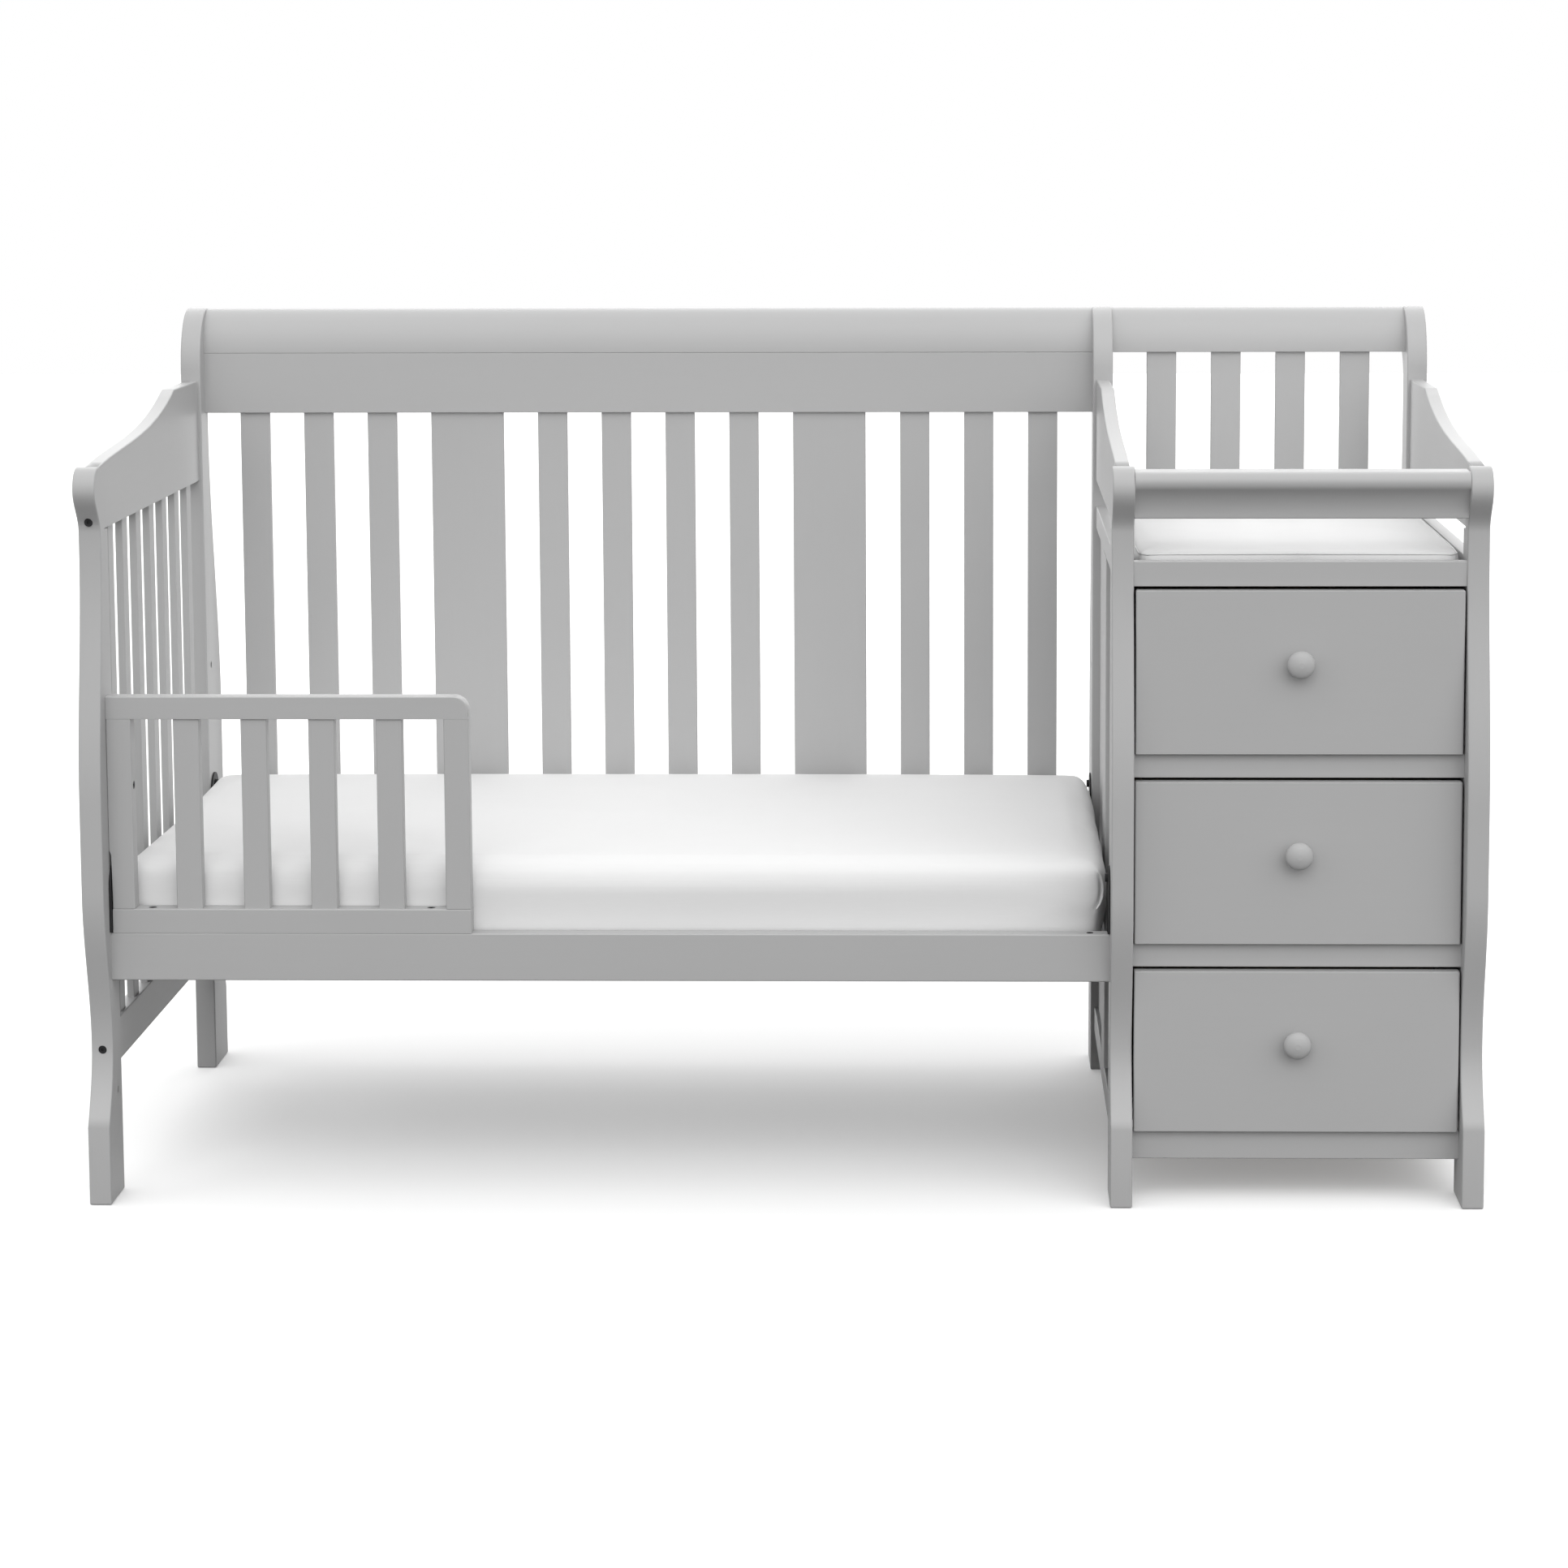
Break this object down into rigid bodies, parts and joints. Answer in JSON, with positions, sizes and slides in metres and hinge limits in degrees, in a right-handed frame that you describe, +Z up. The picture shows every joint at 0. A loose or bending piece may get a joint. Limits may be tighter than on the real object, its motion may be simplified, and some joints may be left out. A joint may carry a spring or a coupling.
{
  "type": "crib with attached changer",
  "caption": "Sleigh-backed crib in its toddler-bed setting, with a guard rail and a mattress, joined to a changer with a padded top and sliding drawers.",
  "frame": {"origin": "on the floor, at the middle of the footprint of the whole assembly", "axes": "+X to the changer's side, along the width; -Y to the open front; +Z up"},
  "size_m": [1.834, 0.826, 1.141],
  "materials": {
    "painted_wood": "satin light grey paint",
    "box_wood": "clear sealed plywood",
    "mattress_sheet": "plain white cotton sheet",
    "pad_cover": "smooth white coated fabric",
    "black_steel": "black powder coat",
    "zinc_steel": "zinc plated"
  },
  "bodies": {
    "frame": {"left_front_post": "painted_wood", "middle_front_post": "painted_wood", "right_front_post": "painted_wood", "left_rear_post": "painted_wood", "middle_rear_post": "painted_wood", "right_rear_post": "painted_wood", "left_arm": "painted_wood", "middle_arm": "painted_wood", "right_arm": "painted_wood", "end_bottom_rail": "painted_wood", "end_slats": "painted_wood", "side_upper_rails": "painted_wood", "side_lower_rails": "painted_wood", "side_muntins": "painted_wood", "side_panels": "painted_wood", "crib_cap_rail": "painted_wood", "crib_top_rail": "painted_wood", "crib_bottom_rail": "painted_wood", "crib_slats": "painted_wood", "changer_cap_rail": "painted_wood", "changer_slats": "painted_wood", "changer_back_rails": "painted_wood", "changer_back_panel": "painted_wood", "front_rail": "painted_wood", "guard_top_rail": "painted_wood", "guard_bottom_rail": "painted_wood", "guard_stiles": "painted_wood", "guard_slats": "painted_wood", "mattress_support": "black_steel", "support_hangers": "black_steel", "mattress": "mattress_sheet", "rolled_rail": "painted_wood", "tray_front_rail": "painted_wood", "tray_deck": "painted_wood", "changing_pad": "pad_cover", "drawer_dividers": "painted_wood", "base_rail": "painted_wood", "cabinet_runners": "zinc_steel", "end_bolts": "black_steel", "rail_bolts": "black_steel", "barrel_nuts": "black_steel", "hanger_bolts": "black_steel"},
    "bottom_drawer": {"bottom_drawer_front": "painted_wood", "bottom_drawer_walls": "box_wood", "bottom_drawer_bottom": "box_wood", "bottom_drawer_knob": "painted_wood", "bottom_drawer_screw": "zinc_steel", "bottom_drawer_runners": "zinc_steel"},
    "middle_drawer": {"middle_drawer_front": "painted_wood", "middle_drawer_walls": "box_wood", "middle_drawer_bottom": "box_wood", "middle_drawer_knob": "painted_wood", "middle_drawer_screw": "zinc_steel", "middle_drawer_runners": "zinc_steel"},
    "top_drawer": {"top_drawer_front": "painted_wood", "top_drawer_walls": "box_wood", "top_drawer_bottom": "box_wood", "top_drawer_knob": "painted_wood", "top_drawer_screw": "zinc_steel", "top_drawer_runners": "zinc_steel"}
  },
  "joints": [
    {"name": "bottom_drawer_slide", "type": "slide", "parent": "frame", "child": "bottom_drawer", "axis": [0, -1, 0], "range_m": [0, 0.38]},
    {"name": "middle_drawer_slide", "type": "slide", "parent": "frame", "child": "middle_drawer", "axis": [0, -1, 0], "range_m": [0, 0.38]},
    {"name": "top_drawer_slide", "type": "slide", "parent": "frame", "child": "top_drawer", "axis": [0, -1, 0], "range_m": [0, 0.38]}
  ]
}
